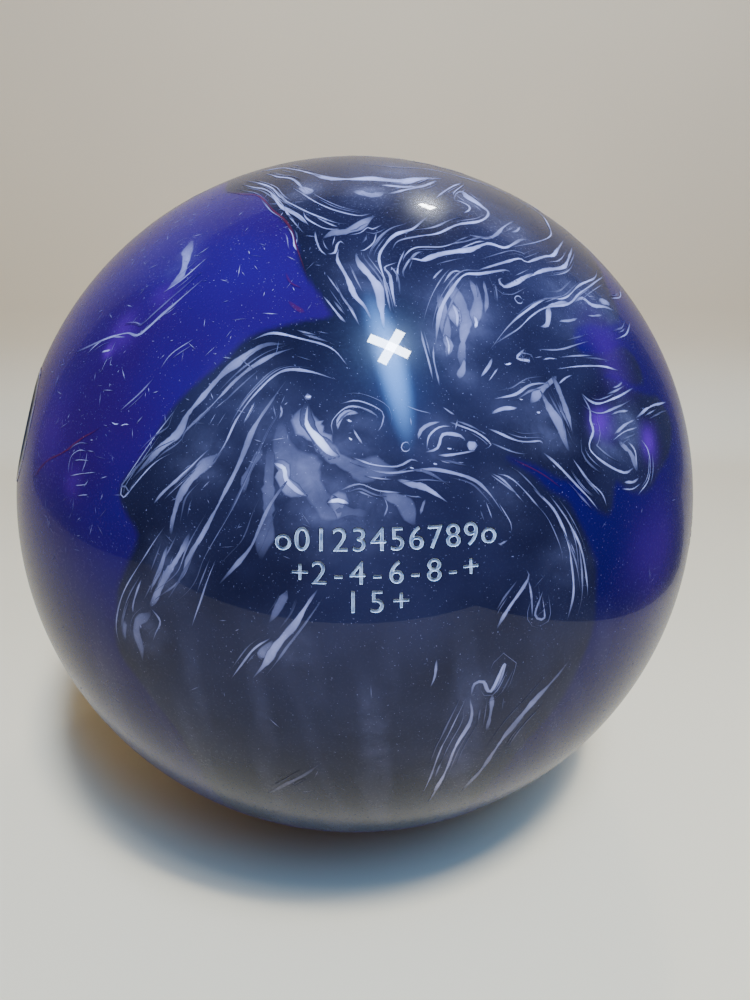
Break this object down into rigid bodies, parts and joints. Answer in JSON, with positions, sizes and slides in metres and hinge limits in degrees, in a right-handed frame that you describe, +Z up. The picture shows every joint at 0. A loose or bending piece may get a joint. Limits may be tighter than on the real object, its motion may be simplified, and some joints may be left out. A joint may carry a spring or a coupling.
{
  "type": "bowling ball",
  "caption": "Drilled ten-pin bowling ball with a marbled resin shell, a turned core, a thumb slug, finger inserts and painted engraving.",
  "frame": {"origin": "centre of the ball", "axes": "+Z up, with the ball resting on its lowest point; the engraved rows face -Y, the thumb hole is to the left of them and the finger holes are just behind the top"},
  "size_m": [0.217, 0.217, 0.2169],
  "materials": {
    "coverstock": "polished pearl resin, blue and near-black with silver swirls",
    "core_filler": "cast filled resin",
    "weight_block": "cast and turned dense resin",
    "dense_insert": "cast mineral-filled resin",
    "locating_pin": "polished flush with the shell",
    "thumb_slug": "sanded urethane",
    "finger_inserts": "soft moulded vinyl",
    "mark_paint": "enamel in engraved marks"
  },
  "bodies": {
    "root": {"cg_mark": "mark_paint", "core_filler": "core_filler", "coverstock": "coverstock", "dense_insert": "dense_insert", "finger_insert_1": "finger_inserts", "finger_insert_2": "finger_inserts", "locating_pin": "locating_pin", "paint_row1_01": "mark_paint", "paint_row1_02": "mark_paint", "paint_row1_03": "mark_paint", "paint_row1_04": "mark_paint", "paint_row1_05": "mark_paint", "paint_row1_06": "mark_paint", "paint_row1_07": "mark_paint", "paint_row1_08": "mark_paint", "paint_row1_09": "mark_paint", "paint_row1_10": "mark_paint", "paint_row1_11": "mark_paint", "paint_row1_12": "mark_paint", "paint_row2_01": "mark_paint", "paint_row2_02": "mark_paint", "paint_row2_03": "mark_paint", "paint_row2_04": "mark_paint", "paint_row2_05": "mark_paint", "paint_row2_06": "mark_paint", "paint_row2_07": "mark_paint", "paint_row2_08": "mark_paint", "paint_row2_09": "mark_paint", "paint_row2_10": "mark_paint", "paint_row3_01": "mark_paint", "paint_row3_02": "mark_paint", "paint_row3_03": "mark_paint", "thumb_slug": "thumb_slug", "weight_block": "weight_block"}
  },
  "joints": []
}
